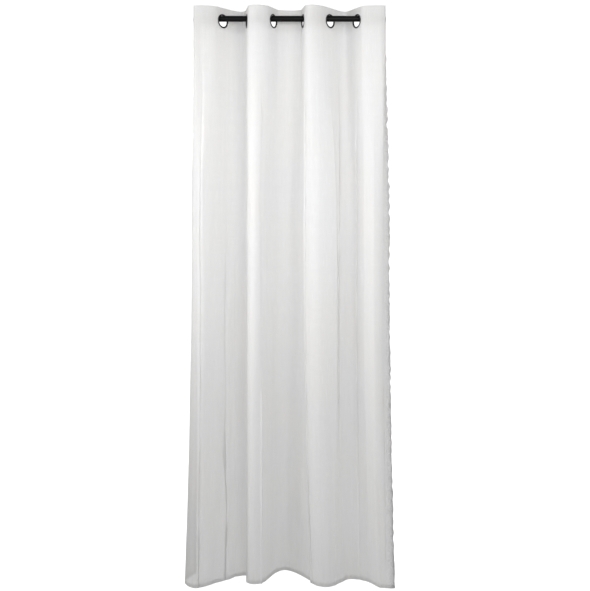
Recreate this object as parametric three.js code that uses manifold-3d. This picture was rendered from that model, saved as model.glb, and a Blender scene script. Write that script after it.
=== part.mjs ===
// Sheer voile curtain hanging from a round rod by eight eyelets.
//
// Millimetres, +Z up. X runs along the rod to the right, and the side that is looked at
// faces -Y. The origin is the middle of the rod's axis.
//
// The panel is one width of cloth. Seen from above it runs back and forth through the rod,
// in front of it and behind it in turn, and each fold has its own depth, width and lean.

import * as THREE from 'three';
import { mergeVertices, toCreasedNormals } from 'three/addons/utils/BufferGeometryUtils.js';
import Module from 'manifold-3d';

const wasm = await Module();
wasm.setup();

// Rod
const ROD_DIAMETER = 25;
const ROD_LENGTH = 820;
const ROD_SIDES = 40;
const ROD_EDGE = 0.8;

// Cloth. The heading is stiff, so its folds keep one shape from its top to its bottom.
const CLOTH_THICKNESS = 2;
const CLOTH_LENGTH = 2450;
const CLOTH_TOP = 47;
const HEM_BOTTOM = CLOTH_TOP - CLOTH_LENGTH;
const HEADING_BOTTOM = -48;

// Eyelets
const EYELET_PITCH = 175;
const EYELET_INNER_RADIUS = 23.5;
const EYELET_OUTER_RADIUS = 30;
const EYELET_DROP = 10.4;
const EYELET_HALF_DEPTH = 3.2;
const EYELET_SIDES = 24;
const SEAT_GAP = 0.3;
const BARREL_WALL = 1.2;
const FLAT_HALF_WIDTH = 31.5;

// Where each eyelet sits on the rod, and how many degrees its cloth stands off the rod's line.
// Past 90 degrees the fold in front bulges out over the eyelet, as the two outer folds do.
// The right edge of the cloth, behind the rod, also flares out to the side by a little.
const RIGHT_EDGE_FLARE = 30;
const EYELETS = [
  { x: -402.0, angle: 98 },
  { x: -285.5, angle: 48 },
  { x: -182.0, angle: 81 },
  { x: -69.5, angle: 60 },
  { x: 58.0, angle: 79 },
  { x: 173.5, angle: 48 },
  { x: 288.5, angle: 59 },
  { x: 403.0, angle: 98 },
];

// Places along the cloth below the heading, half a pitch apart, from the left edge to the right.
// At the waist and at the hem each one has its plan position and its run, which is the way the
// cloth points there in degrees: 0 is to the right and 90 is to the back. `pull` is how far the
// cloth keeps to its run, so a long pull makes a broad fold and a short one a tight turn.
const WAIST = -900;
const HEM_EASE = 1.9;
const FOLDS = {
  leftEdge: { pull: 60, waist: [-404, 84, -97], hem: [-406, 74, -120] },
  leftTurn: { pull: 80, waist: [-417, 0, -90], hem: [-445, -14, -88] },
  foldOneCrest: { pull: 80, waist: [-374, -62, 0], hem: [-391, -80, 0] },
  foldOneSide: { pull: 100, waist: [-290, -6, 44], hem: [-292, -15, 33] },
  valleyOne: { pull: 76, waist: [-212, 58, 0], hem: [-194, 50, 0] },
  foldTwoEdge: { pull: 84, waist: [-178, 4, -98], hem: [-184, 2, -96] },
  foldTwoCrest: { pull: 56, waist: [-144, -52, 0], hem: [-150, -41, 0] },
  foldTwoSide: { pull: 76, waist: [-100, -2, 74], hem: [-103, -6, 66] },
  valleyTwo: { pull: 112, waist: [-16, 66, 0], hem: [-20, 108, 0] },
  foldThreeEdge: { pull: 64, waist: [58, 2, -98], hem: [91, -18, -86] },
  foldThreeCrest: { pull: 96, waist: [116, -60, 0], hem: [150, -70, 0] },
  foldThreeSide: { pull: 84, waist: [204, -4, 98], hem: [216, -25, 40] },
  valleyThree: { pull: 90, waist: [252, 44, 0], hem: [268, 11, 0] },
  foldFourSide: { pull: 84, waist: [300, 0, -58], hem: [330, -12, -30] },
  foldFourCrest: { pull: 60, waist: [358, -56, 0], hem: [386, -78, 0] },
  rightTurn: { pull: 40, waist: [404, -8, 74], hem: [413, -83, 0] },
  rightEdge: { pull: 34, waist: [431, 34, 40], hem: [442, -79, 12] },
};
const PLACES = Object.values(FOLDS);

// Columns of the cloth's mesh in one pitch. The first and last cover the flat cloth in an eyelet.
const FLAT_SHARE = FLAT_HALF_WIDTH / EYELET_PITCH;
const COLUMNS_PER_FOLD = 8;
const COLUMNS_IN_RETURN = 3;
// Rows of the cloth's mesh, closest together where the folds change most.
const ROWS_BELOW_HEADING = 17;
const ROW_CROWDING = 1.35;

// The way the cloth runs at an eyelet, seen from above and from left to right. It comes forward
// through the first eyelet, goes back through the second, and so on in turn.
function clothDirection(index) {
  const angle = THREE.MathUtils.degToRad(EYELETS[index].angle);
  const towardsBack = index % 2 === 1 ? 1 : -1;
  return new THREE.Vector2(Math.cos(angle), towardsBack * Math.sin(angle));
}

// The free cloth between two eyelets. Its handles are lengthened until it has its cut length.
function bayCurve(index) {
  const start = new THREE.Vector2(EYELETS[index].x, 0);
  const end = new THREE.Vector2(EYELETS[index + 1].x, 0);
  const leave = clothDirection(index);
  const arrive = clothDirection(index + 1);
  start.addScaledVector(leave, FLAT_HALF_WIDTH);
  end.addScaledVector(arrive, -FLAT_HALF_WIDTH);
  const withHandle = (handle) =>
    new THREE.CubicBezierCurve(
      start,
      start.clone().addScaledVector(leave, handle),
      end.clone().addScaledVector(arrive, -handle),
      end,
    );
  const wanted = EYELET_PITCH - 2 * FLAT_HALF_WIDTH;
  let short = 1;
  let long = 200;
  for (let step = 0; step < 40; step += 1) {
    const middle = (short + long) / 2;
    if (withHandle(middle).getLength() < wanted) {
      short = middle;
    } else {
      long = middle;
    }
  }
  return withHandle(short);
}

const BAYS = EYELETS.slice(1).map((eyelet, index) => bayCurve(index));

// Plan position of the heading at a place along the cloth, in eyelet pitches.
function headingPoint(at) {
  const nearest = Math.min(Math.max(Math.round(at), 0), EYELETS.length - 1);
  const offset = (at - nearest) * EYELET_PITCH;
  const straight = new THREE.Vector2(EYELETS[nearest].x, 0);
  straight.addScaledVector(clothDirection(nearest), offset);
  if (Math.abs(offset) <= FLAT_HALF_WIDTH + 1e-6 || at < 0) {
    return straight;
  }
  if (at > EYELETS.length - 1) {
    const share = (offset - FLAT_HALF_WIDTH) / (EYELET_PITCH / 2 - FLAT_HALF_WIDTH);
    straight.x += RIGHT_EDGE_FLARE * share ** 2;
    return straight;
  }
  const bay = Math.floor(at);
  const share = (at - bay - FLAT_SHARE) / (1 - 2 * FLAT_SHARE);
  return BAYS[bay].getPointAt(share);
}

// Plan position of the cloth below the heading, at one of the two heights in the table.
function foldPoint(level, at) {
  const halfPitches = (at + 0.5) * 2;
  const index = Math.min(Math.floor(halfPitches + 1e-9), PLACES.length - 2);
  const t = halfPitches - index;
  const ends = [PLACES[index], PLACES[index + 1]].map((place) => {
    const [x, y, run] = place[level];
    const angle = THREE.MathUtils.degToRad(run);
    const pull = new THREE.Vector2(Math.cos(angle), Math.sin(angle)).multiplyScalar(place.pull);
    return { position: new THREE.Vector2(x, y), pull };
  });
  return new THREE.Vector2()
    .addScaledVector(ends[0].position, (1 + 2 * t) * (1 - t) ** 2)
    .addScaledVector(ends[0].pull, t * (1 - t) ** 2)
    .addScaledVector(ends[1].position, t ** 2 * (3 - 2 * t))
    .addScaledVector(ends[1].pull, t ** 2 * (t - 1));
}

// Plan position of the cloth at a place along it and a height.
function clothPoint(at, z) {
  const belowHeading = (HEADING_BOTTOM - z) / (HEADING_BOTTOM - WAIST);
  const belowWaist = (WAIST - z) / (WAIST - HEM_BOTTOM);
  if (belowWaist > 0) {
    return foldPoint('waist', at).lerp(foldPoint('hem', at), belowWaist ** HEM_EASE);
  }
  return headingPoint(at).lerp(foldPoint('waist', at), THREE.MathUtils.smoothstep(belowHeading, 0, 1));
}

function columnPlaces() {
  const places = [-0.5];
  for (let step = 1; step < COLUMNS_IN_RETURN; step += 1) {
    places.push(-0.5 + ((0.5 - FLAT_SHARE) * step) / COLUMNS_IN_RETURN);
  }
  places.push(-FLAT_SHARE, 0);
  for (let bay = 0; bay < EYELETS.length - 1; bay += 1) {
    for (let step = 0; step <= COLUMNS_PER_FOLD; step += 1) {
      places.push(bay + FLAT_SHARE + ((1 - 2 * FLAT_SHARE) * step) / COLUMNS_PER_FOLD);
    }
    places.push(bay + 1);
  }
  const last = EYELETS.length - 1;
  for (let step = 0; step <= COLUMNS_IN_RETURN; step += 1) {
    places.push(last + FLAT_SHARE + ((0.5 - FLAT_SHARE) * step) / COLUMNS_IN_RETURN);
  }
  return places;
}

function rowHeights() {
  const heights = [HEM_BOTTOM];
  for (let step = 1; step <= ROWS_BELOW_HEADING; step += 1) {
    const share = (1 - step / ROWS_BELOW_HEADING) ** ROW_CROWDING;
    heights.push(HEADING_BOTTOM + (HEM_BOTTOM - HEADING_BOTTOM) * share);
  }
  heights.push(CLOTH_TOP);
  return heights;
}

// The panel before its holes: a front and a back sheet of points, closed at all four edges.
function foldedPanel() {
  const places = columnPlaces();
  const heights = rowHeights();
  const columns = places.length;
  const positions = [];
  for (const side of [1, -1]) {
    for (const z of heights) {
      const line = places.map((at) => clothPoint(at, z));
      line.forEach((point, i) => {
        const before = line[Math.max(i - 1, 0)];
        const after = line[Math.min(i + 1, columns - 1)];
        const along = after.clone().sub(before).normalize();
        const shift = (side * CLOTH_THICKNESS) / 2;
        positions.push(point.x + along.y * shift, point.y - along.x * shift, z);
      });
    }
  }
  const backStart = columns * heights.length;
  const indices = [];
  const quad = (a, b, c, d) => indices.push(a, b, c, a, c, d);
  for (let row = 0; row < heights.length - 1; row += 1) {
    for (let column = 0; column < columns - 1; column += 1) {
      const corner = row * columns + column;
      const above = corner + columns;
      quad(corner, corner + 1, above + 1, above);
      quad(backStart + corner, backStart + above, backStart + above + 1, backStart + corner + 1);
    }
    const left = row * columns;
    const right = left + columns - 1;
    quad(left, left + columns, backStart + left + columns, backStart + left);
    quad(right, backStart + right, backStart + right + columns, right + columns);
  }
  const topRow = (heights.length - 1) * columns;
  for (let column = 0; column < columns - 1; column += 1) {
    const top = topRow + column;
    quad(column, backStart + column, backStart + column + 1, column + 1);
    quad(top, top + 1, backStart + top + 1, backStart + top);
  }
  const geometry = new THREE.BufferGeometry();
  geometry.setAttribute('position', new THREE.Float32BufferAttribute(positions, 3));
  geometry.setIndex(indices);
  return geometry;
}

function toManifold(geometry) {
  const bare = geometry.clone();
  bare.deleteAttribute('normal');
  bare.deleteAttribute('uv');
  const merged = mergeVertices(bare, 1e-4);
  return new wasm.Manifold(
    new wasm.Mesh({
      numProp: 3,
      vertProperties: new Float32Array(merged.attributes.position.array),
      triVerts: new Uint32Array(merged.index.array),
    }),
  );
}

function toGeometry(solid) {
  const mesh = solid.getMesh();
  const geometry = new THREE.BufferGeometry();
  geometry.setAttribute('position', new THREE.BufferAttribute(mesh.vertProperties, 3));
  geometry.setIndex(new THREE.BufferAttribute(mesh.triVerts, 1));
  return geometry;
}

// Turns an upright shape so that its axis stands square to the cloth at an eyelet.
function placeAtEyelet(object, index) {
  const direction = clothDirection(index);
  object.position.set(EYELETS[index].x, 0, -EYELET_DROP);
  object.rotation.z = Math.atan2(direction.y, direction.x);
}

function curtainPanel() {
  const holeRadius = EYELET_INNER_RADIUS + BARREL_WALL + SEAT_GAP;
  let solid = toManifold(foldedPanel());
  EYELETS.forEach((eyelet, index) => {
    const punch = new THREE.Mesh(new THREE.CylinderGeometry(holeRadius, holeRadius, 12, EYELET_SIDES));
    placeAtEyelet(punch, index);
    punch.updateMatrix();
    solid = solid.subtract(toManifold(punch.geometry.applyMatrix4(punch.matrix)));
  });
  const material = new THREE.MeshStandardMaterial({ color: 0xf2f1ee, roughness: 0.9, metalness: 0 });
  const mesh = new THREE.Mesh(toCreasedNormals(toGeometry(solid), Math.PI / 4), material);
  mesh.name = 'curtain_panel';
  return mesh;
}

// One eyelet, turned about its own axis: a barrel through the cloth and a domed rim on each face.
function eyeletRing(index) {
  const slot = CLOTH_THICKNESS / 2 + SEAT_GAP;
  const barrel = EYELET_INNER_RADIUS + BARREL_WALL;
  const dome = (EYELET_INNER_RADIUS + EYELET_OUTER_RADIUS) / 2;
  const frontHalf = [
    [EYELET_INNER_RADIUS, 1.2],
    [EYELET_INNER_RADIUS + 0.9, 2.5],
    [dome, EYELET_HALF_DEPTH],
    [EYELET_OUTER_RADIUS - 0.7, 2.5],
    [EYELET_OUTER_RADIUS, slot],
    [barrel, slot],
  ];
  const backHalf = frontHalf.map(([radius, depth]) => [radius, -depth]).reverse();
  const outline = [...frontHalf, ...backHalf, frontHalf[0]].map(([radius, depth]) => new THREE.Vector2(radius, depth));
  const geometry = new THREE.LatheGeometry(outline.reverse(), EYELET_SIDES);
  const material = new THREE.MeshStandardMaterial({ color: 0x2c2c2f, roughness: 0.32, metalness: 0.9 });
  const mesh = new THREE.Mesh(geometry, material);
  mesh.name = `eyelet_${index + 1}`;
  placeAtEyelet(mesh, index);
  return mesh;
}

function curtainRod() {
  const radius = ROD_DIAMETER / 2;
  const half = ROD_LENGTH / 2;
  const outline = [
    new THREE.Vector2(0, -half),
    new THREE.Vector2(radius - ROD_EDGE, -half),
    new THREE.Vector2(radius, -half + ROD_EDGE),
    new THREE.Vector2(radius, half - ROD_EDGE),
    new THREE.Vector2(radius - ROD_EDGE, half),
    new THREE.Vector2(0, half),
  ];
  const material = new THREE.MeshStandardMaterial({ color: 0x17171a, roughness: 0.5, metalness: 0.4 });
  const mesh = new THREE.Mesh(new THREE.LatheGeometry(outline, ROD_SIDES), material);
  mesh.name = 'curtain_rod';
  mesh.rotation.z = -Math.PI / 2;
  return mesh;
}

const curtain = new THREE.Group();
curtain.add(curtainRod());
curtain.add(curtainPanel());
EYELETS.forEach((eyelet, index) => curtain.add(eyeletRing(index)));

export default curtain;
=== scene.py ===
# %% [markdown]
# # A sheer voile curtain on a round rod
#
# The real curtain is one width of thin white voile. Its top is turned down into a heading,
# eight metal eyelets are pressed through the heading, and a round black rod runs through them.
# The solids already fix the rod, the eyelets and the way the cloth folds. What is left to make
# here is everything that a solid 2 mm thick can't show: cloth that light passes through, hems
# that are a second layer of the same cloth, stitches, creases, tucks and the metal's finish.
# %% Load the fixed frame
import functools
import math
from collections import namedtuple

import bmesh
import bpy
from mathutils import Matrix, Vector, noise


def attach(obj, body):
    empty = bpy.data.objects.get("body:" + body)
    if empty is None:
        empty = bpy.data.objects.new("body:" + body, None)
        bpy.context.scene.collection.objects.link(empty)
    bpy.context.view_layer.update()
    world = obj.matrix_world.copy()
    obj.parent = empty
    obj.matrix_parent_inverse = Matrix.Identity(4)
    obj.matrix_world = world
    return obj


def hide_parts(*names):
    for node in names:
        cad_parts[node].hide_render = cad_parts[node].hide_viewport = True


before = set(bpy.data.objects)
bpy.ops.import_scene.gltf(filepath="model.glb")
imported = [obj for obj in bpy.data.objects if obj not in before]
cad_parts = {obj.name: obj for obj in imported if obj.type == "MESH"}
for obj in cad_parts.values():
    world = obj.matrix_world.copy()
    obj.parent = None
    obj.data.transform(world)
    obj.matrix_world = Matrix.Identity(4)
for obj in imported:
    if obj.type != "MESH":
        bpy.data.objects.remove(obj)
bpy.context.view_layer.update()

# %% [markdown]
# ## Sizes
#
# A curtain maker works in millimetres, so the sizes below are in millimetres, and `MM` turns
# them into Blender's metres at the last moment. They are the sizes of the solids: a 25 mm rod,
# a panel 1400 mm wide and 2450 mm long when it is finished, and eyelets 175 mm apart.
# %% Sizes of the rod, the panel and the eyelets
MM = 0.001

ROD_DIAMETER = 25.0
ROD_LENGTH = 820.0

CLOTH_TOP = 47.0
CLOTH_LENGTH = 2450.0
HEM_BOTTOM = CLOTH_TOP - CLOTH_LENGTH
HEADING_BOTTOM = -48.0
SIDE_HEM = 20.0
BOTTOM_HEM = 16.0

EYELET_PITCH = 175.0
EYELET_INNER_RADIUS = 23.5
EYELET_OUTER_RADIUS = 30.0
EYELET_DROP = 10.4
EYELET_HALF_DEPTH = 3.2
EYELET_SLOT = 1.3
BARREL_WALL = 1.2
FLAT_HALF_WIDTH = 31.5
RIGHT_EDGE_FLARE = 30.0

Eyelet = namedtuple("Eyelet", "x angle")
EYELETS = [
    Eyelet(-402.0, 98),
    Eyelet(-285.5, 48),
    Eyelet(-182.0, 81),
    Eyelet(-69.5, 60),
    Eyelet(58.0, 79),
    Eyelet(173.5, 48),
    Eyelet(288.5, 59),
    Eyelet(403.0, 98),
]
CLOTH_WIDTH = EYELET_PITCH * len(EYELETS)
print("finished panel:", CLOTH_WIDTH, "by", CLOTH_LENGTH, "mm")

# %% [markdown]
# ## The folds, seen from above
#
# Hanging cloth is easiest to describe in plan. At the rod it snakes from eyelet to eyelet, and
# further down each fold goes its own way. The table names each place along the cloth, half a
# pitch apart, and gives its plan position and its run at two heights. The run is the way the
# cloth points there: 0 degrees is to the right and 90 is to the back. A long pull makes a
# broad fold and a short one a tight turn. It is the same table that shapes the solid panel, so
# the fine cloth lies where the solid lies.
# %% Table of folds
WAIST = -900.0
HEM_EASE = 1.9

Spot = namedtuple("Spot", "x y run")
Fold = namedtuple("Fold", "pull waist hem")
FOLDS = {
    "left edge": Fold(60, Spot(-404, 84, -97), Spot(-406, 74, -120)),
    "left turn": Fold(80, Spot(-417, 0, -90), Spot(-445, -14, -88)),
    "fold one crest": Fold(80, Spot(-374, -62, 0), Spot(-391, -80, 0)),
    "fold one side": Fold(100, Spot(-290, -6, 44), Spot(-292, -15, 33)),
    "valley one": Fold(76, Spot(-212, 58, 0), Spot(-194, 50, 0)),
    "fold two edge": Fold(84, Spot(-178, 4, -98), Spot(-184, 2, -96)),
    "fold two crest": Fold(56, Spot(-144, -52, 0), Spot(-150, -41, 0)),
    "fold two side": Fold(76, Spot(-100, -2, 74), Spot(-103, -6, 66)),
    "valley two": Fold(112, Spot(-16, 66, 0), Spot(-20, 108, 0)),
    "fold three edge": Fold(64, Spot(58, 2, -98), Spot(91, -18, -86)),
    "fold three crest": Fold(96, Spot(116, -60, 0), Spot(150, -70, 0)),
    "fold three side": Fold(84, Spot(204, -4, 98), Spot(216, -25, 40)),
    "valley three": Fold(90, Spot(252, 44, 0), Spot(268, 11, 0)),
    "fold four side": Fold(84, Spot(300, 0, -58), Spot(330, -12, -30)),
    "fold four crest": Fold(60, Spot(358, -56, 0), Spot(386, -78, 0)),
    "right turn": Fold(40, Spot(404, -8, 74), Spot(413, -83, 0)),
    "right edge": Fold(34, Spot(431, 34, 40), Spot(442, -79, 12)),
}
PLACES = list(FOLDS.values())
FIRST_PLACE = -0.5
LAST_PLACE = len(EYELETS) - 0.5
print(len(PLACES), "places along the cloth")

# %% [markdown]
# ## The heading
#
# The heading is stiff, so between two eyelets the cloth makes one clean bay. A Bezier curve
# gives that bay, and its handles are lengthened until the curve is as long as the cloth that is
# left between the two eyelets. Cloth neither stretches nor shrinks, and this keeps it honest.
# %% Plan of the heading
BAY_STEPS = 200
HALVINGS = 40
LONGEST_HANDLE = 200.0
ROUNDING = 1e-9


def cloth_direction(index):
    """The way the cloth runs at an eyelet: forward through the first, back through the next."""
    angle = math.radians(EYELETS[index].angle)
    towards_back = 1 if index % 2 else -1
    return Vector((math.cos(angle), towards_back * math.sin(angle)))


def bezier_point(handles, t):
    start, leave, arrive, end = handles
    rest = 1 - t
    return rest**3 * start + 3 * rest**2 * t * leave + 3 * rest * t**2 * arrive + t**3 * end


def distances_along(handles):
    points = [bezier_point(handles, step / BAY_STEPS) for step in range(BAY_STEPS + 1)]
    distances = [0.0]
    for here, there in zip(points, points[1:]):
        distances.append(distances[-1] + (there - here).length)
    return distances


def bay_curve(index):
    """The free cloth between two eyelets, as Bezier handles that have its cut length."""
    leave = cloth_direction(index)
    arrive = cloth_direction(index + 1)
    start = Vector((EYELETS[index].x, 0)) + leave * FLAT_HALF_WIDTH
    end = Vector((EYELETS[index + 1].x, 0)) - arrive * FLAT_HALF_WIDTH
    wanted = EYELET_PITCH - 2 * FLAT_HALF_WIDTH
    short, long = 1.0, LONGEST_HANDLE
    for _ in range(HALVINGS):
        middle = (short + long) / 2
        handles = (start, start + leave * middle, end - arrive * middle, end)
        if distances_along(handles)[-1] < wanted:
            short = middle
        else:
            long = middle
    return handles, distances_along(handles)


BAYS = [bay_curve(index) for index in range(len(EYELETS) - 1)]


def point_in_bay(index, share):
    """The point at a share of a bay's length."""
    handles, distances = BAYS[index]
    wanted = share * distances[-1]
    step = next((i for i in range(BAY_STEPS) if distances[i + 1] >= wanted), BAY_STEPS - 1)
    within = (wanted - distances[step]) / (distances[step + 1] - distances[step])
    return bezier_point(handles, (step + within) / BAY_STEPS)


def heading_point(place):
    last = len(EYELETS) - 1
    nearest = min(max(math.floor(place + 0.5), 0), last)
    offset = (place - nearest) * EYELET_PITCH
    straight = Vector((EYELETS[nearest].x, 0)) + cloth_direction(nearest) * offset
    if abs(offset) <= FLAT_HALF_WIDTH + ROUNDING or place < 0:
        return straight
    if place > last:
        share = (offset - FLAT_HALF_WIDTH) / (EYELET_PITCH / 2 - FLAT_HALF_WIDTH)
        straight.x += RIGHT_EDGE_FLARE * share**2
        return straight
    flat_share = FLAT_HALF_WIDTH / EYELET_PITCH
    bay = math.floor(place)
    return point_in_bay(bay, (place - bay - flat_share) / (1 - 2 * flat_share))


print("bay lengths:", [round(distances[-1], 1) for handles, distances in BAYS])

# %% [markdown]
# ## From the heading to the hem
#
# Between two places of the table the cloth follows a Hermite curve, which passes through both
# and leaves each along its run. Going down, the plan eases from the heading's into the waist's,
# and from there, slowly at first, into the hem's. Because any place and height gives one point,
# the same function can lay out the cloth, its hems and its stitches.
# %% Plan below the heading
def fold_point(level, place):
    half_pitches = (place - FIRST_PLACE) * 2
    index = min(math.floor(half_pitches + ROUNDING), len(PLACES) - 2)
    t = half_pitches - index
    spots, pulls = [], []
    for fold in PLACES[index : index + 2]:
        spot = getattr(fold, level)
        run = math.radians(spot.run)
        spots.append(Vector((spot.x, spot.y)))
        pulls.append(Vector((math.cos(run), math.sin(run))) * fold.pull)
    from_start = spots[0] * (1 + 2 * t) * (1 - t) ** 2 + pulls[0] * t * (1 - t) ** 2
    from_end = spots[1] * t**2 * (3 - 2 * t) + pulls[1] * t**2 * (t - 1)
    return from_start + from_end


@functools.lru_cache(maxsize=None)
def level_point(level, place):
    return heading_point(place) if level == "heading" else fold_point(level, place)


def smoothstep(share):
    share = min(max(share, 0.0), 1.0)
    return share * share * (3 - 2 * share)


def plan_point(place, z):
    place = min(max(place, FIRST_PLACE), LAST_PLACE)
    if z < WAIST:
        upper, lower = level_point("waist", place), level_point("hem", place)
        return upper.lerp(lower, ((WAIST - z) / (WAIST - HEM_BOTTOM)) ** HEM_EASE)
    upper, lower = level_point("heading", place), level_point("waist", place)
    return upper.lerp(lower, smoothstep((HEADING_BOTTOM - z) / (HEADING_BOTTOM - WAIST)))


print("left edge at the hem:", tuple(round(x) for x in plan_point(FIRST_PLACE, HEM_BOTTOM)))

# %% [markdown]
# ## Creases
#
# The big folds alone look pressed from sheet metal. Real voile also carries soft creases that
# wander down the cloth. A simulation would put them anywhere, so here each crease is one row:
# where it starts and ends along the cloth and down it, how wide it is, how far
# it stands proud (a trough is less than nought), and how much it wanders. Its section is a bell
# curve, and its strength swings slowly on the way down. The odd numbers given to `noise` only
# pick a fresh part of the noise, so that no two creases waver alike.
# %% Table of creases
Crease = namedtuple("Crease", "start_place end_place start end width proud wander")
CREASES = {
    "wavering line on fold one": Crease(0.44, 0.58, -130, HEM_BOTTOM, 5, -4.2, 7),
    "ridge beside it": Crease(0.54, 0.70, -300, HEM_BOTTOM, 8, 2.6, 7),
    "faint line on fold one": Crease(0.78, 0.86, -700, HEM_BOTTOM, 6, -2.4, 8),
    "thin line before the pale band": Crease(1.09, 1.11, -900, HEM_BOTTOM, 4, -6.0, 6),
    "pale band on fold one": Crease(1.21, 1.20, -1000, HEM_BOTTOM, 8, 7.0, 4),
    "trough after the band": Crease(1.38, 1.31, -900, HEM_BOTTOM, 5, -4.4, 3),
    "pressed edge of fold two": Crease(2.12, 2.16, -200, HEM_BOTTOM, 4.5, 3.6, 2),
    "dark line on fold two": Crease(2.60, 2.75, -170, -1750, 4, -4.4, 4),
    "sharp crease of fold two": Crease(2.73, 2.77, -1400, HEM_BOTTOM, 5.4, 11.0, 5),
    "roll beside valley two": Crease(3.18, 3.16, -350, HEM_BOTTOM, 14, 3.0, 6),
    "faint line in valley two": Crease(3.62, 3.58, -250, -2100, 8, -2.4, 6),
    "trough before fold three": Crease(3.98, 3.90, -160, HEM_BOTTOM, 4, -5.0, 4),
    "pressed edge of fold three": Crease(4.12, 4.04, -160, HEM_BOTTOM, 4.5, 3.8, 4),
    "line on fold three": Crease(4.52, 4.40, -120, HEM_BOTTOM, 6, -2.8, 5),
    "ridge before the side of fold three": Crease(4.92, 4.80, -200, HEM_BOTTOM, 6, 3.2, 4),
    "pinched side of fold three": Crease(5.28, 5.02, -180, -1950, 4.5, -8.0, 6),
    "trough in valley three": Crease(5.96, 5.74, -160, HEM_BOTTOM, 8, -3.4, 5),
    "ridge on fold four": Crease(6.20, 6.10, -400, HEM_BOTTOM, 8, 2.8, 5),
    "line on fold four": Crease(6.58, 6.50, -200, HEM_BOTTOM, 5, -3.0, 4),
}
FADE = 260.0
WANDER_LENGTH = 230.0
WIDTHS_OUT = 3
CREASE_MEAN, CREASE_SWING, CREASE_SWING_LENGTH = 0.75, 0.5, 310.0


def beside(line, place, z, fresh):
    """Millimetres along the cloth from the middle of a line, or None past the line's ends."""
    down = (line.start - z) / (line.start - line.end)
    if not 0 < down <= 1:
        return None
    middle = line.start_place + (line.end_place - line.start_place) * down
    wander = line.wander * noise.noise(Vector((z / WANDER_LENGTH, *fresh)))
    return (place - middle) * EYELET_PITCH - wander


def fade_at(line, z):
    """A line fades in below its start, and fades out unless it runs to the hem."""
    fade_in = smoothstep((line.start - z) / FADE)
    runs_out = line.end > HEM_BOTTOM
    return fade_in * smoothstep((z - line.end) / FADE) if runs_out else fade_in


def crease_relief(place, z):
    total = 0.0
    for number, crease in enumerate(CREASES.values()):
        along = beside(crease, place, z, (7.3 * number, 0.5))
        if along is None or abs(along) > WIDTHS_OUT * crease.width:
            continue
        bump = crease.proud * math.exp(-((along / crease.width) ** 2))
        swing = noise.noise(Vector((z / CREASE_SWING_LENGTH, 3.9 * number, 2.5)))
        total += bump * fade_at(crease, z) * (CREASE_MEAN + CREASE_SWING * swing)
    return total


print(len(CREASES), "creases")

# %% [markdown]
# ## Ripples, puckers and a crumpled edge
#
# Between its creases limp cloth is never quite flat, so ripples of three sizes are added up,
# from broad and soft to small and faint. A side hem puckers in short waves, because its seam is
# a little tighter than the cloth beside it, and they die away inwards. The free right edge is a
# little crumpled as well. All of it is a distance out of the cloth's front.
# %% Slow unevenness and the side hems
Ripple = namedtuple("Ripple", "across down proud")
RIPPLES = [Ripple(95, 520, 2.2), Ripple(38, 230, 1.2), Ripple(19, 150, 0.5)]
PUCKER_REACH = 46.0
PUCKER_LENGTH = 43.0
PUCKER_PROUD = 3.0
PUCKER_TAPER = 1.5
PUCKER_DRIFT, PUCKER_DRIFT_LENGTH = 2.4, 84.0
PUCKER_MEAN, PUCKER_SWING_LENGTH = 0.6, 130.0
CRUMPLE_REACH = 84.0
CRUMPLE_SIZE = 24.0
CRUMPLE_PROUD = 7.5
STIFF_HEADING_FADE = 190.0


def slow_relief(along, z):
    total = 0.0
    for number, ripple in enumerate(RIPPLES):
        spot = Vector((along / ripple.across, z / ripple.down, 11.7 * number))
        total += ripple.proud * noise.noise(spot)
    return total


def pucker_relief(along, z):
    edge = min(along, CLOTH_WIDTH - along)
    near_edge = max(1 - edge / PUCKER_REACH, 0.0)
    shift = PUCKER_DRIFT * noise.noise(Vector((z / PUCKER_DRIFT_LENGTH, 0.3, 5.1)))
    strength = PUCKER_MEAN + noise.noise(Vector((z / PUCKER_SWING_LENGTH, 4.2, 9.4)))
    wave = math.sin(math.tau * z / PUCKER_LENGTH + shift)
    pucker = near_edge**PUCKER_TAPER * strength * wave
    near_right = max(1 - (CLOTH_WIDTH - along) / CRUMPLE_REACH, 0.0)
    crumple = near_right * noise.noise(Vector((along, z, 71.0)) / CRUMPLE_SIZE)
    return PUCKER_PROUD * pucker + CRUMPLE_PROUD * crumple


def relief(place, z):
    """How far the cloth stands out of its plan, which is nothing in the stiff heading."""
    along = (place - FIRST_PLACE) * EYELET_PITCH
    softness = smoothstep((HEADING_BOTTOM - z) / STIFF_HEADING_FADE)
    if softness == 0:
        return 0.0
    return softness * (crease_relief(place, z) + slow_relief(along, z) + pucker_relief(along, z))


print("relief at the middle of the waist:", round(relief(3.5, WAIST), 2), "mm")

# %% [markdown]
# ## Tucks
#
# In a few places limp cloth has slipped over itself in a narrow tuck. Three layers lie on each
# other there, and in cloth this thin that shows as a fine denser line with a crisp edge. Each
# row is listed like a crease. Across a tuck the cloth runs on, doubles back behind
# itself and runs on again, and the cloth beside it gives up the length that this takes.
# %% Table of tucks
Tuck = namedtuple("Tuck", "start_place end_place start end width wander")
TUCKS = {
    "beside the left turn": Tuck(0.46, 0.56, -500, HEM_BOTTOM, 3.4, 8),
    "before the pale band": Tuck(1.10, 1.12, -850, HEM_BOTTOM, 4.2, 7),
    "on fold two": Tuck(2.64, 2.76, -150, -1650, 5.0, 5),
    "edge of fold three": Tuck(4.24, 4.08, -140, HEM_BOTTOM, 5.0, 5),
    "side of fold three": Tuck(5.34, 5.12, -140, -1950, 8.0, 6),
    "in valley three": Tuck(5.86, 5.74, -400, -2100, 3.4, 6),
    "before the right turn": Tuck(6.92, 6.84, -140, HEM_BOTTOM, 5.0, 8),
}
TUCK_LAYER = 1.1
TUCK_REACH = 78.0
TUCK_MEAN, TUCK_SWING, TUCK_SWING_LENGTH = 0.95, 0.6, 95.0


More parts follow.
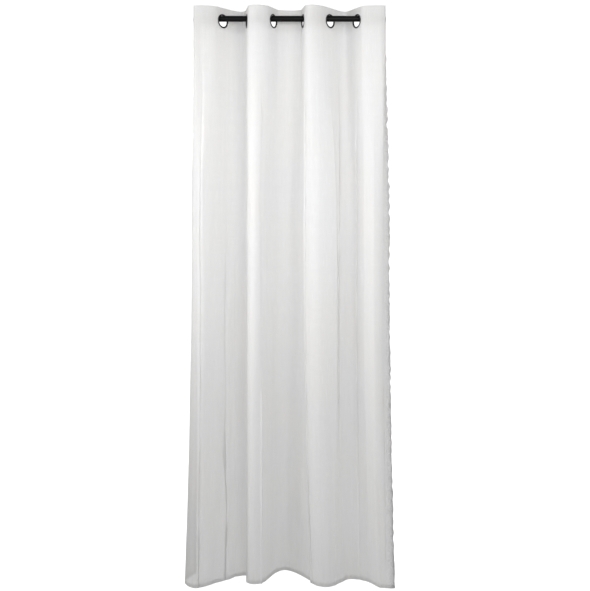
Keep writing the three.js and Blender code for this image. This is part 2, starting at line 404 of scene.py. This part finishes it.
def tuck_slip(place, z):
    """How far the tucks slide a spot sideways along the cloth, and how far back."""
    sideways, back = 0.0, 0.0
    for number, tuck in enumerate(TUCKS.values()):
        along = beside(tuck, place, z, (5.7 * number, 21.5))
        if along is None or abs(along) >= TUCK_REACH:
            continue
        reach = 1 - smoothstep(abs(along) / TUCK_REACH)
        swing = noise.noise(Vector((z / TUCK_SWING_LENGTH, 8.1 * number, 33.5)))
        size = reach * fade_at(tuck, z) * (TUCK_MEAN + TUCK_SWING * swing)
        slip = math.tanh(along / tuck.width)
        sideways -= 2 * tuck.width * slip * size
        back += TUCK_LAYER * (1 + slip) * size
    return sideways, back


print(len(TUCKS), "tucks")

# %% [markdown]
# ## A point on the cloth
#
# Everything that lies on the cloth is placed by one function: a place along it, a height, and
# how far in front of its middle the point stands. The direction of "in front" comes from the
# cloth's own run at that spot.
# %% Function for a point on the cloth
NUDGE = 0.012


def on_cloth(place, z, proud=0.0):
    """A point in metres, `proud` millimetres in front of the cloth's middle."""
    sideways, back = tuck_slip(place, z)
    seat = place + sideways / EYELET_PITCH
    before = plan_point(seat - NUDGE, z)
    after = plan_point(seat + NUDGE, z)
    run = (after - before).normalized()
    out = proud + relief(place, z) - back
    point = plan_point(seat, z)
    return Vector((point.x + run.y * out, point.y - run.x * out, z)) * MM


print("middle of the hem in metres:", [round(x, 3) for x in on_cloth(3.5, HEM_BOTTOM)])

# %% [markdown]
# ## The flat cut
#
# A seamstress starts from a flat piece that is larger than the finished panel, and turns its
# edges back: the sides, the bottom and the deep heading at the top. The mesh is made the same
# way. It starts as a grid, which is the flat cut. The grid's lines lie close together where the
# cloth will be turned, in the heading, and where sharp creases and tucks run, and further apart
# in between, so that the mesh is fine only where that shows.
# %% Rule the flat cut
Stretch = namedtuple("Stretch", "start end spacing")
HEADING_TURN = CLOTH_TOP - HEADING_BOTTOM
HEADING_MARGIN = 10
BELOW_HEADING = CLOTH_LENGTH - HEADING_TURN - HEADING_MARGIN
EDGE, AT_EDGE = 3, 1
PLAIN, CREASED, IN_SIDE_HEM = 6.4, 2.6, 4.3
DOWN_CLOTH, IN_HEADING, IN_BOTTOM_HEM = 11, 3.6, 6.5
ACROSS = [
    Stretch(-SIDE_HEM, -EDGE, IN_SIDE_HEM),
    Stretch(-EDGE, EDGE, AT_EDGE),
    Stretch(EDGE, 154, PLAIN),
    Stretch(154, 216, CREASED),
    Stretch(216, 268, PLAIN),
    Stretch(268, 340, CREASED),
    Stretch(340, 444, PLAIN),
    Stretch(444, 478, CREASED),
    Stretch(478, 528, PLAIN),
    Stretch(528, 584, CREASED),
    Stretch(584, 760, PLAIN),
    Stretch(760, 820, CREASED),
    Stretch(820, 914, PLAIN),
    Stretch(914, 1024, CREASED),
    Stretch(1024, 1086, PLAIN),
    Stretch(1086, 1122, CREASED),
    Stretch(1122, 1272, PLAIN),
    Stretch(1272, 1316, CREASED),
    Stretch(1316, CLOTH_WIDTH - EDGE, PLAIN),
    Stretch(CLOTH_WIDTH - EDGE, CLOTH_WIDTH + EDGE, AT_EDGE),
    Stretch(CLOTH_WIDTH + EDGE, CLOTH_WIDTH + SIDE_HEM, IN_SIDE_HEM),
]
UP = [
    Stretch(-BOTTOM_HEM, -EDGE, IN_BOTTOM_HEM),
    Stretch(-EDGE, EDGE, AT_EDGE),
    Stretch(EDGE, BELOW_HEADING, DOWN_CLOTH),
    Stretch(BELOW_HEADING, CLOTH_LENGTH - EDGE, IN_HEADING),
    Stretch(CLOTH_LENGTH - EDGE, CLOTH_LENGTH + EDGE, AT_EDGE),
    Stretch(CLOTH_LENGTH + EDGE, CLOTH_LENGTH + HEADING_TURN, IN_HEADING),
]


def rulings(stretches):
    """Distances along the cut, evenly spaced within each stretch."""
    distances = [stretches[0].start]
    for stretch in stretches:
        count = max(round((stretch.end - stretch.start) / stretch.spacing), 1)
        step = (stretch.end - stretch.start) / count
        distances += [stretch.start + step * number for number in range(1, count + 1)]
    return distances


columns = rulings(ACROSS)
rows = rulings(UP)

# %% [markdown]
# ## Turned edges
#
# Each point of the grid gets its place on the hung cloth, and the turned parts lie just behind
# the front. So a hem is a real second layer and shows through the sheer cloth as a denser strip,
# with no trick in the material. At the very edge the cloth goes round in a narrow smooth turn.
# %% Turn the edges back
TURN = 1.0
FRONT_LAYER = 0.7
SIDE_LAYER = 0.5
END_LAYER = 0.9


def turned_back(distance, length):
    """Where a distance along the cut comes to lie, and how far it has turned behind the front."""
    beyond = max(-distance, distance - length, 0.0)
    inset = max(beyond - TURN, 0.0)
    lies_at = inset if distance < length / 2 else length - inset
    if beyond == 0:
        lies_at = distance
    return lies_at, smoothstep(beyond / (2 * TURN))


def lies_on_cloth(across, up):
    """Distance from the left edge, height, and how proud a point of the cut lies."""
    along, side_turn = turned_back(across, CLOTH_WIDTH)
    above_hem, end_turn = turned_back(up, CLOTH_LENGTH)
    proud = FRONT_LAYER - SIDE_LAYER * side_turn - END_LAYER * end_turn
    return along, HEM_BOTTOM + above_hem, proud


print("the cut's lower left corner lies at:", lies_on_cloth(columns[0], rows[0]))

# %% [markdown]
# ## The panel
#
# The eyelet holes are punched where the turned cloth lies, so front and heading are cut alike.
# Faces inside a hole go, and the points around it are drawn onto a true circle. The flat cut is
# kept as the panel's own map, in metres, for the weave to follow.
# %% Make the panel
HOLE_RADIUS = 26.0
HOLE_REACH = 6.0


def nearest_eyelet(along, z):
    """The middle of the nearest eyelet on the flat cloth, and the way and distance from it."""
    index = min(max(round(along / EYELET_PITCH - 0.5), 0), len(EYELETS) - 1)
    middle = Vector(((index + 0.5) * EYELET_PITCH, -EYELET_DROP))
    return middle, Vector((along, z)) - middle


def voile_panel():
    bm = bmesh.new()
    bmesh.ops.create_grid(bm, x_segments=len(columns) - 1, y_segments=len(rows) - 1, size=1)
    lie = {}
    for vertex in bm.verts:
        column = round((vertex.co.x + 1) / 2 * (len(columns) - 1))
        row = round((vertex.co.y + 1) / 2 * (len(rows) - 1))
        vertex.co = (columns[column] * MM, rows[row] * MM, 0)
        lie[vertex] = lies_on_cloth(columns[column], rows[row])
    cut_map = bm.loops.layers.uv.new("cut")
    for face in bm.faces:
        for loop in face.loops:
            loop[cut_map].uv = loop.vert.co.xy
    punched = []
    for face in bm.faces:
        along = sum(lie[vertex][0] for vertex in face.verts) / len(face.verts)
        z = sum(lie[vertex][1] for vertex in face.verts) / len(face.verts)
        if nearest_eyelet(along, z)[1].length < HOLE_RADIUS:
            punched.append(face)
    bmesh.ops.delete(bm, geom=punched, context="FACES")
    for vertex in bm.verts:
        along, z, proud = lie[vertex]
        middle, away = nearest_eyelet(along, z)
        if vertex.is_boundary and away.length < HOLE_RADIUS + HOLE_REACH:
            along, z = middle + away.normalized() * HOLE_RADIUS
        vertex.co = on_cloth(FIRST_PLACE + along / EYELET_PITCH, z, proud)
    mesh = bpy.data.meshes.new("voile_panel")
    bm.to_mesh(mesh)
    bm.free()
    mesh.shade_smooth()
    panel = bpy.data.objects.new("voile_panel", mesh)
    bpy.context.scene.collection.objects.link(panel)
    return panel


panel = voile_panel()
print("panel:", len(panel.data.polygons), "faces")

# %% [markdown]
# ## Eyelets
#
# A curtain eyelet is two pressed rings that snap together through the cloth: a domed rim on
# each face, joined by a barrel. A ring with one outline all the way round is best spun: the
# outline is drawn once, with a small groove in the bore where the halves meet, and `spin` turns
# it about the eyelet's axis. Each ring is then set square to the cloth at its own spot.
# %% Spin the eyelets
RING_STEPS = 96
DOME_STEPS = 12
JOINT_GROOVE = 0.3


def eyelet_outline():
    middle = (EYELET_INNER_RADIUS + EYELET_OUTER_RADIUS) / 2
    half = (EYELET_OUTER_RADIUS - EYELET_INNER_RADIUS) / 2
    rise = EYELET_HALF_DEPTH - EYELET_SLOT
    dome = []
    for step in range(DOME_STEPS + 1):
        angle = math.pi * step / DOME_STEPS
        dome.append((middle + half * math.cos(angle), EYELET_SLOT + rise * math.sin(angle)))
    front = [(EYELET_INNER_RADIUS + BARREL_WALL, EYELET_SLOT), *dome]
    front.append((EYELET_INNER_RADIUS, JOINT_GROOVE))
    back = [(radius, -depth) for radius, depth in reversed(front)]
    return [*front, (EYELET_INNER_RADIUS + JOINT_GROOVE, 0), *back]


def eyelet_ring(index):
    bm = bmesh.new()
    points = [bm.verts.new((radius * MM, 0, depth * MM)) for radius, depth in eyelet_outline()]
    edges = [bm.edges.new(pair) for pair in zip(points, points[1:] + points[:1])]
    bmesh.ops.spin(
        bm,
        geom=points + edges,
        cent=(0, 0, 0),
        axis=(0, 0, 1),
        angle=math.tau,
        steps=RING_STEPS,
        use_merge=True,
    )
    bmesh.ops.recalc_face_normals(bm, faces=bm.faces)
    run = cloth_direction(index)
    out_of_front = Vector((run.y, -run.x, 0))
    across = Vector((run.x, run.y, 0))
    up = Vector((0, 0, 1))
    place = Matrix.Translation(Vector((EYELETS[index].x, 0, -EYELET_DROP)) * MM)
    turn = Matrix((across, up, out_of_front)).transposed().to_4x4()
    bmesh.ops.transform(bm, matrix=place @ turn, verts=bm.verts)
    mesh = bpy.data.meshes.new(f"eyelet_ring_{index + 1}")
    bm.to_mesh(mesh)
    bm.free()
    mesh.shade_smooth()
    ring = bpy.data.objects.new(mesh.name, mesh)
    bpy.context.scene.collection.objects.link(ring)
    return ring


rings = [eyelet_ring(index) for index in range(len(EYELETS))]
print(len(rings), "eyelets of", len(rings[0].data.polygons), "faces")

# %% [markdown]
# ## Rod
#
# The rod is a plain round tube with neatly broken edges at its ends. A many-sided cylinder with
# its end edges bevelled gives a highlight that runs smoothly along it.
# %% Make the rod
ROD_SIDES = 96
ROD_EDGE = 0.8
ROD_EDGE_STEPS = 4
END_FACING = 0.99


def rod_piece():
    bm = bmesh.new()
    bmesh.ops.create_cone(
        bm,
        cap_ends=True,
        segments=ROD_SIDES,
        radius1=ROD_DIAMETER / 2 * MM,
        radius2=ROD_DIAMETER / 2 * MM,
        depth=ROD_LENGTH * MM,
    )
    ends = [edge for edge in bm.edges if abs(edge.verts[0].co.z - edge.verts[1].co.z) < ROUNDING]
    bmesh.ops.bevel(
        bm,
        geom=ends,
        offset=ROD_EDGE * MM,
        segments=ROD_EDGE_STEPS,
        profile=0.5,
        affect="EDGES",
        material=-1,
    )
    bmesh.ops.rotate(bm, verts=bm.verts, matrix=Matrix.Rotation(math.pi / 2, 3, "Y"))
    mesh = bpy.data.meshes.new("rod_tube")
    bm.to_mesh(mesh)
    bm.free()
    mesh.shade_smooth()
    for face in mesh.polygons:
        if abs(face.normal.x) > END_FACING:
            face.use_smooth = False
    rod = bpy.data.objects.new("rod_tube", mesh)
    bpy.context.scene.collection.objects.link(rod)
    return rod


rod = rod_piece()
print("rod:", [round(x, 4) for x in rod.dimensions], "m")

# %% [markdown]
# ## Stitches
#
# A row of stitches holds each turned edge. From a step away the rows read as fine lines, and
# close by each stitch is a short, fat piece of thread. One stitch is a small stretched ball,
# and it is repeated along the cloth by the same function that placed the cloth, on both faces
# as a sewing machine leaves them. All of them together are one mesh.
# %% Sew the hems and the heading
STITCH_PITCH = 3.6
STITCH_HALF_LENGTH = 1.45
STITCH_HALF_WIDTH = 0.24
STITCH_SIDES, STITCH_RINGS = 5, 4
SEAM_INSET = 2.2


def one_stitch():
    """Points and faces of a ball of radius 1, the pattern for every stitch."""
    bm = bmesh.new()
    bmesh.ops.create_uvsphere(bm, u_segments=STITCH_SIDES, v_segments=STITCH_RINGS, radius=1)
    points = [vertex.co.copy() for vertex in bm.verts]
    faces = [[vertex.index for vertex in face.verts] for face in bm.faces]
    bm.free()
    return points, faces


def seam_lines():
    """Each seam's two ends on the flat cloth, and how far back its turned edge lies."""
    inner_left, inner_right = SIDE_HEM - SEAM_INSET, CLOTH_WIDTH - SIDE_HEM + SEAM_INSET
    low, high = HEM_BOTTOM + STITCH_PITCH, CLOTH_TOP - STITCH_PITCH
    hem_seam = HEM_BOTTOM + BOTTOM_HEM - SEAM_INSET
    heading_seam = HEADING_BOTTOM + SEAM_INSET
    return [
        ((STITCH_PITCH, hem_seam), (CLOTH_WIDTH - STITCH_PITCH, hem_seam), END_LAYER),
        ((STITCH_PITCH, heading_seam), (CLOTH_WIDTH - STITCH_PITCH, heading_seam), END_LAYER),
        ((inner_left, low), (inner_left, high), SIDE_LAYER),
        ((inner_right, low), (inner_right, high), SIDE_LAYER),
    ]


def sewn_at(spot, proud):
    return on_cloth(FIRST_PLACE + spot.x / EYELET_PITCH, spot.y, proud)


def stitching():
    ball, ball_faces = one_stitch()
    points, faces = [], []
    for start, end, behind in seam_lines():
        start, end = Vector(start), Vector(end)
        count = round((end - start).length / STITCH_PITCH)
        half = (end - start).normalized() * STITCH_HALF_LENGTH
        for number in range(count):
            middle = start.lerp(end, (number + 0.5) / count)
            head, tail = middle - half, middle + half
            on_front = FRONT_LAYER + STITCH_HALF_WIDTH
            on_back = FRONT_LAYER - behind - STITCH_HALF_WIDTH
            for proud in (on_front, on_back):
                long_way = (sewn_at(tail, proud) - sewn_at(head, proud)) / 2
                centre = sewn_at(middle, proud)
                outwards = sewn_at(middle, proud + 1) - centre
                thick = outwards.normalized() * STITCH_HALF_WIDTH * MM
                wide = thick.cross(long_way).normalized() * STITCH_HALF_WIDTH * MM
                first = len(points)
                points += [centre + wide * p.x + thick * p.y + long_way * p.z for p in ball]
                faces += [[first + corner for corner in face] for face in ball_faces]
    mesh = bpy.data.meshes.new("hem_stitching")
    mesh.from_pydata(points, [], faces)
    mesh.shade_smooth()
    thread = bpy.data.objects.new("hem_stitching", mesh)
    bpy.context.scene.collection.objects.link(thread)
    return thread


thread = stitching()
print("stitching:", len(thread.data.polygons), "faces")

# %% [markdown]
# ## Building materials from nodes
#
# Every finish below is a small graph. One helper adds a node, sets its options and fills its
# inputs, either with a plain value or with a wire from another node, so that each graph can be
# read from top to bottom like a recipe.
# %% Helpers for node graphs
def new_material(name):
    material = bpy.data.materials.new(name)
    material.use_nodes = True
    material.node_tree.nodes.clear()
    return material


def add(material, kind, options, inputs):
    """Adds a node and returns its first output."""
    tree = material.node_tree
    made = tree.nodes.new(f"ShaderNode{kind}")
    for option, value in options.items():
        setattr(made, option, value)
    for name, value in inputs.items():
        if isinstance(value, bpy.types.NodeSocket):
            tree.links.new(value, made.inputs[name])
        else:
            made.inputs[name].default_value = value
    return made.outputs[0]


def arithmetic(material, operation, first, second=0.0):
    return add(material, "Math", {"operation": operation}, {0: first, 1: second})


def spread(material, value, low, high, new_low=0.0, new_high=1.0):
    """Stretches the part of a value between low and high, and holds it at both ends."""
    inputs = {"From Min": low, "From Max": high, "To Min": new_low, "To Max": new_high}
    return add(material, "MapRange", {}, {"Value": value, **inputs})


def grain(material, coordinates, size, detail=2.0):
    """Noise whose patches have the given size in metres along x, y and z."""
    scales = [1 / length for length in size]
    scaled = add(material, "VectorMath", {"operation": "MULTIPLY"}, {0: coordinates, 1: scales})
    return add(material, "TexNoise", {}, {"Vector": scaled, "Scale": 1.0, "Detail": detail})


def blend_colours(material, share, first, second):
    made = material.node_tree.nodes.new("ShaderNodeMix")
    made.data_type = "RGBA"
    sockets = (made.inputs["Factor"], made.inputs[6], made.inputs[7])
    for socket, value in zip(sockets, (share, first, second)):
        if isinstance(value, bpy.types.NodeSocket):
            material.node_tree.links.new(value, socket)
        else:
            socket.default_value = value
    return made.outputs[2]


def finish_material(material, shader):
    output = material.node_tree.nodes.new("ShaderNodeOutputMaterial")
    material.node_tree.links.new(shader, output.inputs["Surface"])


# %% [markdown]
# ## Voile
#
# Voile is a plain weave of fine, hard-twisted threads with open pinholes between them. Some
# light goes straight through the pinholes, some is scattered through the threads, and some is
# scattered back. So the shader has three parts: transparent for the holes, translucent for the
# light that glows through, and a rough surface with a little sheen. The weave, the thicker
# threads called slubs and the slow changes in density follow the flat cut's own map, which is
# in metres, so they bend with the folds and turn over at the hems as woven threads do. Beside
# the side hems a finer puckering, too small for the mesh, is added as relief.
# %% Voile material
THREAD_PITCH = 0.00062
THREAD_DEPTH, SMALL_PUCKER_DEPTH = 0.00025, 0.004
WARP_SLUB, WEFT_SLUB = (0.0012, 0.07, 1), (0.07, 0.0012, 1)
SLUB_RISE = 1.6
STREAK, CLOUD, SMALL_PUCKER = (0.02, 0.5, 1), (0.16, 0.3, 1), (0.012, 0.01, 1)
USUAL_COVER = 0.75
VOILE_COLOUR = (0.92, 0.914, 0.902, 1.0)
VOILE_COOL = (0.912, 0.912, 0.914, 1.0)
VOILE_OPACITY = 0.86
PINHOLE_OPACITY = 0.14
SLUB_OPACITY = 0.08
STREAK_OPACITY = 0.03
GLOW_SHARE = 0.36
LEFT_PUCKERS = (0.03, 0.012)
RIGHT_PUCKERS = (1.3, 1.37)


def voile_material():
    voile = new_material("sheer_white_voile")
    cut = add(voile, "UVMap", {"uv_map": "cut"}, {})
    split = voile.node_tree.nodes.new("ShaderNodeSeparateXYZ")
    voile.node_tree.links.new(cut, split.inputs[0])
    threads = []
    for way in (split.outputs["X"], split.outputs["Y"]):
        turns = arithmetic(voile, "MULTIPLY", way, math.tau / THREAD_PITCH)
        threads.append(spread(voile, arithmetic(voile, "SINE", turns), -1, 1))
    covered = arithmetic(voile, "MAXIMUM", threads[0], threads[1])
    warp_slubs = spread(voile, grain(voile, cut, WARP_SLUB, 1.0), 0.58, 0.72)
    weft_slubs = spread(voile, grain(voile, cut, WEFT_SLUB, 1.0), 0.6, 0.74)
    slubs = arithmetic(voile, "MAXIMUM", warp_slubs, weft_slubs)
    streaks = spread(voile, grain(voile, cut, STREAK), 0.3, 0.7)
    clouds = spread(voile, grain(voile, cut, CLOUD), 0.35, 0.65)

    pinholes = arithmetic(voile, "SUBTRACT", covered, USUAL_COVER)
    opacity = arithmetic(voile, "MULTIPLY_ADD", pinholes, PINHOLE_OPACITY)
    opacity.node.inputs[2].default_value = VOILE_OPACITY
    dense = arithmetic(voile, "MULTIPLY", slubs, SLUB_OPACITY)
    streaky = arithmetic(voile, "MULTIPLY", streaks, STREAK_OPACITY)
    opacity = arithmetic(voile, "ADD", opacity, arithmetic(voile, "ADD", dense, streaky))

    colour = blend_colours(voile, clouds, VOILE_COLOUR, VOILE_COOL)
    near_left = spread(voile, split.outputs["X"], *LEFT_PUCKERS)
    near_right = spread(voile, split.outputs["X"], *RIGHT_PUCKERS)
    near_side = arithmetic(voile, "MAXIMUM", near_left, near_right)
    puckers = spread(voile, grain(voile, cut, SMALL_PUCKER), 0.38, 0.62)
    puckers = arithmetic(voile, "MULTIPLY", puckers, near_side)
    inputs = {"Strength": 1.0, "Distance": SMALL_PUCKER_DEPTH, "Height": puckers}
    drawn_in = add(voile, "Bump", {}, inputs)
    height = arithmetic(voile, "ADD", covered, arithmetic(voile, "MULTIPLY", slubs, SLUB_RISE))
    inputs = {"Strength": 0.35, "Distance": THREAD_DEPTH, "Height": height, "Normal": drawn_in}
    bump = add(voile, "Bump", {}, inputs)
    surface = add(
        voile,
        "BsdfPrincipled",
        {},
        {
            "Base Color": colour,
            "Roughness": 0.8,
            "Specular IOR Level": 0.3,
            "Sheen Weight": 0.3,
            "Sheen Roughness": 0.45,
            "Normal": bump,
        },
    )
    glow = add(voile, "BsdfTranslucent", {}, {"Color": colour, "Normal": bump})
    cloth = add(voile, "MixShader", {}, {"Fac": GLOW_SHARE, 1: surface, 2: glow})
    holes = add(voile, "BsdfTransparent", {}, {})
    finish_material(voile, add(voile, "MixShader", {}, {"Fac": opacity, 1: holes, 2: cloth}))
    return voile


panel.data.materials.append(voile_material())
print("voile:", len(panel.active_material.node_tree.nodes), "nodes")

# %% [markdown]
# ## Rod, eyelets and thread
#
# The rod is a tube with a satin black powder coat. Close up such a coat has a fine orange-peel
# texture, and where the eyelets are pushed along it the top is worn a little smoother. The top is
# also painted a little lighter in streaks, which is partly that wear and partly a painted
# highlight. The eyelets are pressed metal with a dark, half-bright plating that picks up fine
# scuffs. The thread is plain white polyester, a touch brighter than the cloth.
# %% Powder coat, plating and thread
ROD_BLACK = (0.005, 0.005, 0.0055, 1.0)
ROD_WEAR_AND_HIGHLIGHT = (0.014, 0.014, 0.015, 1.0)
PLATING_DARK = (0.05, 0.05, 0.054, 1.0)
PLATING_LIGHT = (0.13, 0.13, 0.135, 1.0)
THREAD_WHITE = (0.93, 0.93, 0.925, 1.0)
THREAD_SHADE = (0.84, 0.84, 0.835, 1.0)
TOP_OF_ROD = (0.006, 0.012)
ROD_SCUFF = (0.05, 0.0012, 0.0012)
ORANGE_PEEL = (0.0011, 0.0011, 0.0011)
PLATING_PATCH = (0.009, 0.009, 0.009)
PLATING_SCUFF = (0.0006, 0.0006, 0.006)
THREAD_STRAND = (0.0004, 0.0004, 0.0004)


def coordinates_of(material):
    made = material.node_tree.nodes.new("ShaderNodeTexCoord")
    return made.outputs["Object"]


def powder_coat():
    coat = new_material("satin_black_coat")
    spot = coordinates_of(coat)
    split = coat.node_tree.nodes.new("ShaderNodeSeparateXYZ")
    coat.node_tree.links.new(spot, split.inputs[0])
    # The top of the rod is painted lighter in streaks: partly wear from the eyelets, partly a
    # painted highlight.
    on_top = spread(coat, split.outputs["Z"], *TOP_OF_ROD)
    scuffs = spread(coat, grain(coat, spot, ROD_SCUFF), 0.5, 0.68)
    wear_and_highlight = arithmetic(coat, "MULTIPLY", on_top, scuffs)
    peel = grain(coat, spot, ORANGE_PEEL)
    bump = add(coat, "Bump", {}, {"Strength": 0.25, "Distance": 0.0002, "Height": peel})
    colour = blend_colours(coat, wear_and_highlight, ROD_BLACK, ROD_WEAR_AND_HIGHLIGHT)
    roughness = spread(coat, arithmetic(coat, "MULTIPLY", wear_and_highlight, peel), 0, 0.6, 0.42, 0.3)
    inputs = {"Base Color": colour, "Roughness": roughness, "Normal": bump}
    inputs["Specular IOR Level"] = 0.12
    finish_material(coat, add(coat, "BsdfPrincipled", {}, inputs))
    return coat


def dark_plating():
    plating = new_material("gunmetal_plating")
    spot = coordinates_of(plating)
    patches = spread(plating, grain(plating, spot, PLATING_PATCH), 0.35, 0.65)
    scuffs = spread(plating, grain(plating, spot, PLATING_SCUFF), 0.55, 0.75)
    colour = blend_colours(plating, scuffs, PLATING_DARK, PLATING_LIGHT)
    roughness = spread(plating, patches, 0, 1, 0.22, 0.36)
    bump = add(plating, "Bump", {}, {"Strength": 0.15, "Distance": 0.0001, "Height": scuffs})
    inputs = {"Base Color": colour, "Metallic": 0.9, "Roughness": roughness, "Normal": bump}
    finish_material(plating, add(plating, "BsdfPrincipled", {}, inputs))
    return plating


def sewing_thread():
    polyester = new_material("white_thread")
    spot = coordinates_of(polyester)
    strands = spread(polyester, grain(polyester, spot, THREAD_STRAND), 0.35, 0.65)
    colour = blend_colours(polyester, strands, THREAD_SHADE, THREAD_WHITE)
    bump = add(polyester, "Bump", {}, {"Strength": 0.4, "Distance": 0.0001, "Height": strands})
    inputs = {"Base Color": colour, "Roughness": 0.6, "Sheen Weight": 0.2, "Normal": bump}
    finish_material(polyester, add(polyester, "BsdfPrincipled", {}, inputs))
    return polyester


rod.data.materials.append(powder_coat())
plating = dark_plating()
for ring in rings:
    ring.data.materials.append(plating)
thread.data.materials.append(sewing_thread())
print("materials:", [material.name for material in bpy.data.materials])

# %% [markdown]
# ## Joining the looks to the solids
#
# The curtain is one body: nothing in it turns or slides without the cloth changing shape. Each
# fine piece rides on that body and stands for its solid, which is hidden.
# %% Ride and replace
for piece, node, slot_name in [
    (panel, "curtain_panel", "voile"),
    (rod, "curtain_rod", "rod_black"),
    *((ring, f"eyelet_{number}", "eyelet_metal") for number, ring in enumerate(rings, 1)),
]:
    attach(piece, "root")
    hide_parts(node)
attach(thread, "root")

# %% [markdown]
# ## Floor and backdrop
#
# A white curtain in front of white needs a backdrop without a corner or a line. One outline,
# flat, then rounded, then upright, is spun all the way round into a bowl, so that every side of
# the curtain has the same pale ground. The bowl glows by itself, so that it stays even. Only the
# camera sees it, and it throws no shadow, so it neither tints the cloth nor keeps light off it.
# %% Spin the pale bowl
MERGE_DISTANCE = 1e-5
FLOOR_GAP = 0.03
BOWL_RADIUS = 7.0
BOWL_ROUNDING = 2.0
BOWL_HEIGHT = 8.0
BOWL_STEPS = 96
ROUNDING_STEPS = 12
BOWL_GREY = (0.8, 0.8, 0.8, 1.0)
BOWL_GLOW = 0.86


def pale_bowl(floor_z):
    bm = bmesh.new()
    outline = [(0.0, floor_z)]
    for step in range(ROUNDING_STEPS + 1):
        angle = math.pi / 2 * step / ROUNDING_STEPS
        radius = BOWL_RADIUS - BOWL_ROUNDING + BOWL_ROUNDING * math.sin(angle)
        outline.append((radius, floor_z + BOWL_ROUNDING * (1 - math.cos(angle))))
    outline.append((BOWL_RADIUS, floor_z + BOWL_HEIGHT))
    points = [bm.verts.new((radius, 0, z)) for radius, z in outline]
    edges = [bm.edges.new(pair) for pair in zip(points, points[1:])]
    bmesh.ops.spin(
        bm,
        geom=points + edges,
        cent=(0, 0, 0),
        axis=(0, 0, 1),
        angle=math.tau,
        steps=BOWL_STEPS,
        use_merge=True,
    )
    bmesh.ops.remove_doubles(bm, verts=bm.verts, dist=MERGE_DISTANCE)
    bmesh.ops.recalc_face_normals(bm, faces=bm.faces)
    mesh = bpy.data.meshes.new("pale_bowl")
    bm.to_mesh(mesh)
    bm.free()
    mesh.shade_smooth()
    bowl = bpy.data.objects.new("pale_bowl", mesh)
    bpy.context.scene.collection.objects.link(bowl)
    return bowl


def bowl_material():
    pale = new_material("pale_ground")
    matt = add(pale, "BsdfDiffuse", {}, {"Color": BOWL_GREY})
    glow = add(pale, "Emission", {}, {"Color": (1, 1, 1, 1), "Strength": BOWL_GLOW})
    finish_material(pale, add(pale, "AddShader", {}, {0: matt, 1: glow}))
    return pale


bowl = pale_bowl(HEM_BOTTOM * MM - FLOOR_GAP)
bowl.data.materials.append(bowl_material())
bowl.visible_diffuse = False
bowl.visible_glossy = False
bowl.visible_transmission = False
bowl.visible_shadow = False
print("bowl:", len(bowl.data.polygons), "faces")

# %% [markdown]
# ## Light
#
# The curtain is brightest in its upper half and falls to a soft grey at the hem. So three soft
# boxes stand near its upper half: at the left front, at the right front and at the left side. A
# grid narrows the spread of each, so that its light fades on the way down. The two at the left
# are the stronger together, which models the folds. Boxes without a grid, at the right, low down
# and behind, lift what is left dark, and an even surround keeps the valleys between the folds
# open. Light has to pass many thin layers where folds overlap, so the number of layers that it
# may pass is raised. The plain Standard view keeps white cloth white.
# %% Soft studio lights
SURROUND = 0.335
LAYERS_SEEN_THROUGH = 24
SoftBox = namedtuple("SoftBox", "place aim size watts spread")
SOFT_BOXES = {
    "key": SoftBox((-1.4, -1.7, -0.3), (-0.05, 0, -0.6), 1.3, 5.9, 110),
    "front": SoftBox((0.8, -2.0, -0.25), (0.1, 0, -0.55), 1.5, 11.6, 110),
    "side": SoftBox((-2.2, -0.8, -0.6), (-0.3, 0, -0.8), 1.1, 10.0, 110),
    "right": SoftBox((2.2, -0.7, -0.8), (0.4, 0, -1.0), 1.1, 3.4, 180),
    "fill": SoftBox((1.6, -2.0, -1.8), (0.25, 0, -2.0), 1.0, 1.8, 180),
    "behind": SoftBox((-0.5, 2.2, 0.6), (0, 0, -0.6), 1.6, 8, 180),
}
for name, light in SOFT_BOXES.items():
    lamp = bpy.data.lights.new(name, "AREA")
    lamp.size = light.size
    lamp.energy = light.watts
    lamp.spread = math.radians(light.spread)
    holder = bpy.data.objects.new(name, lamp)
    holder.location = light.place
    facing = Vector(light.aim) - Vector(light.place)
    holder.rotation_euler = facing.to_track_quat("-Z", "Y").to_euler()
    bpy.context.scene.collection.objects.link(holder)

world = bpy.data.worlds.new("surround")
world.use_nodes = True
world.node_tree.nodes["Background"].inputs["Color"].default_value = (1, 1, 1, 1)
world.node_tree.nodes["Background"].inputs["Strength"].default_value = SURROUND
bpy.context.scene.world = world
bpy.context.scene.view_settings.view_transform = "Standard"
bpy.context.scene.cycles.transparent_max_bounces = LAYERS_SEEN_THROUGH
print("soft boxes:", {name: box.watts for name, box in SOFT_BOXES.items()}, "W")

# %% [markdown]
# ## Camera
#
# The picture was taken square on, from a little over half way up the curtain and a few steps
# back. The lens is found from the frame: the curtain's known height has to span its known share
# of the picture. A small shift lowers the frame without tilting the camera, which keeps the
# sides of the curtain upright.
# %% Place the camera
FRAME_HEIGHT = 591
SENSOR = 36.0
FOCAL_PIXELS = 841.1
HORIZON_PIXEL = 229.1
CAMERA_BACK = 3.6
CAMERA_RIGHT = 0.0235
CAMERA_HEIGHT = -0.9

camera_data = bpy.data.cameras.new("front_camera")
camera_data.sensor_width = SENSOR
camera_data.lens = FOCAL_PIXELS / FRAME_HEIGHT * SENSOR
camera_data.shift_y = (HORIZON_PIXEL - FRAME_HEIGHT / 2) / FRAME_HEIGHT
camera = bpy.data.objects.new("front_camera", camera_data)
camera.location = (CAMERA_RIGHT, -CAMERA_BACK, CAMERA_HEIGHT)
camera.rotation_euler = (math.pi / 2, 0, 0)
bpy.context.scene.collection.objects.link(camera)
bpy.context.scene.camera = camera
print("lens:", round(camera_data.lens, 2), "mm")
